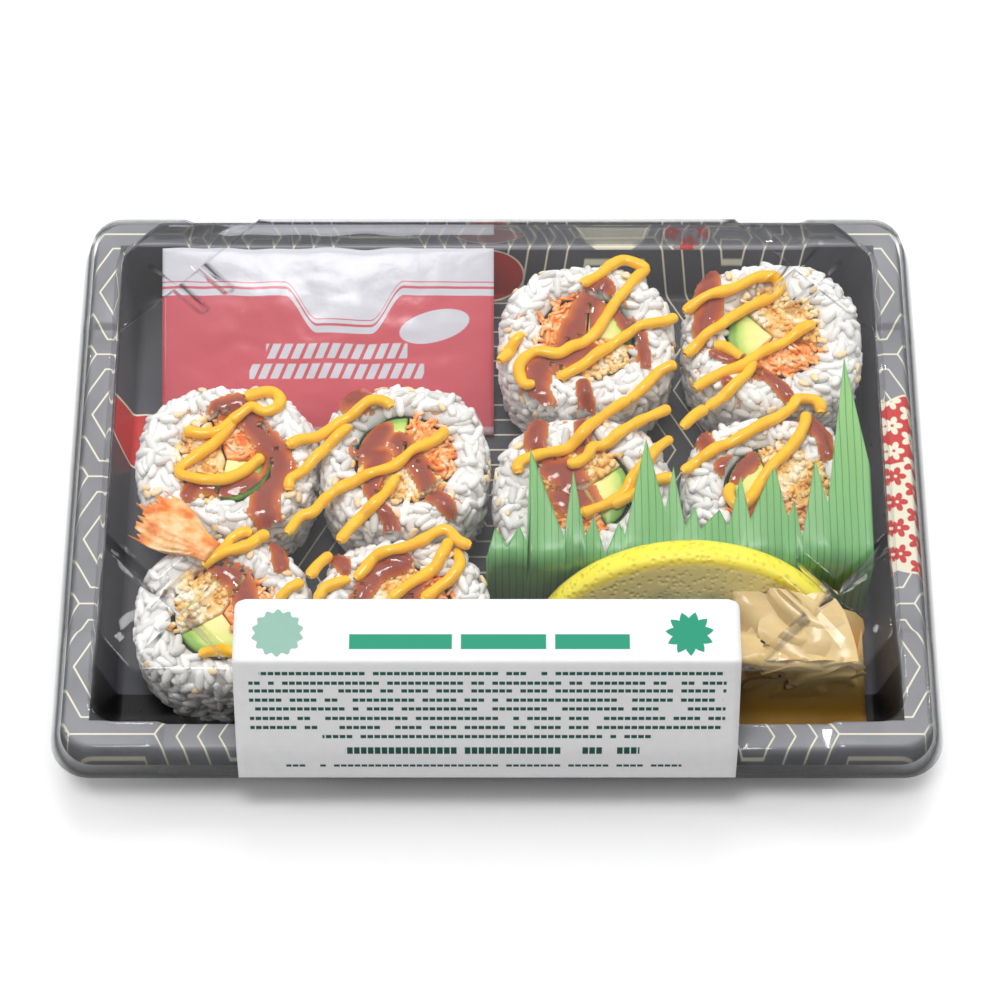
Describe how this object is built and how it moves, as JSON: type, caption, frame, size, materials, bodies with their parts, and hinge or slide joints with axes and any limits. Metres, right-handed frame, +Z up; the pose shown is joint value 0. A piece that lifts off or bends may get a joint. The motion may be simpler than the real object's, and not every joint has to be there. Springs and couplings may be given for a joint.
{
  "type": "takeaway sushi tray",
  "caption": "Shut takeaway sushi tray: black printed base, clear lid that snaps shut and paper label over tempura rolls, sauce packet, leaf divider, lemon and ginger.",
  "frame": {"origin": "on the table under the middle of the tray", "axes": "+Z up, +X to the right along the long side, +Y to the back; the label hangs over the -Y front edge"},
  "size_m": [0.21, 0.1523, 0.0415],
  "materials": {
    "black_print": "printed film on a thin formed sheet, satin gloss",
    "clear_plastic": "clear, glossy",
    "white_paper": "coated label paper",
    "red_film": "glossy printed film",
    "rice": "moist cooked rice, soft sheen",
    "nori": "damp pressed seaweed",
    "tempura": "fried crumb round shrimp",
    "crab_mix": "moist shredded mix",
    "avocado": "soft, buttery sheen",
    "leaf_green": "thin green film with fine printed lines",
    "lemon": "pored waxy rind, wet cut face",
    "ginger": "wet translucent slices"
  },
  "bodies": {
    "root": {"tray": "black_print", "lid": "clear_plastic", "label": "white_paper", "soy_packet": "red_film", "leaf_divider": "leaf_green", "lemon_slice": "lemon", "pickled_ginger": "ginger", "shrimp_tail": "tempura", "roll_a_rice": "rice", "roll_a_nori": "nori", "roll_a_shrimp": "tempura", "roll_a_crab_mix": "crab_mix", "roll_a_avocado": "avocado", "roll_b_rice": "rice", "roll_b_nori": "nori", "roll_b_shrimp": "tempura", "roll_b_crab_mix": "crab_mix", "roll_b_avocado": "avocado", "roll_c_rice": "rice", "roll_c_nori": "nori", "roll_c_shrimp": "tempura", "roll_c_crab_mix": "crab_mix", "roll_c_avocado": "avocado", "roll_d_rice": "rice", "roll_d_nori": "nori", "roll_d_shrimp": "tempura", "roll_d_crab_mix": "crab_mix", "roll_d_avocado": "avocado", "roll_e_rice": "rice", "roll_e_nori": "nori", "roll_e_shrimp": "tempura", "roll_e_crab_mix": "crab_mix", "roll_e_avocado": "avocado", "roll_f_rice": "rice", "roll_f_nori": "nori", "roll_f_shrimp": "tempura", "roll_f_crab_mix": "crab_mix", "roll_f_avocado": "avocado", "roll_g_rice": "rice", "roll_g_nori": "nori", "roll_g_shrimp": "tempura", "roll_g_crab_mix": "crab_mix", "roll_g_avocado": "avocado", "roll_h_rice": "rice", "roll_h_nori": "nori", "roll_h_shrimp": "tempura", "roll_h_crab_mix": "crab_mix", "roll_h_avocado": "avocado"}
  },
  "joints": []
}
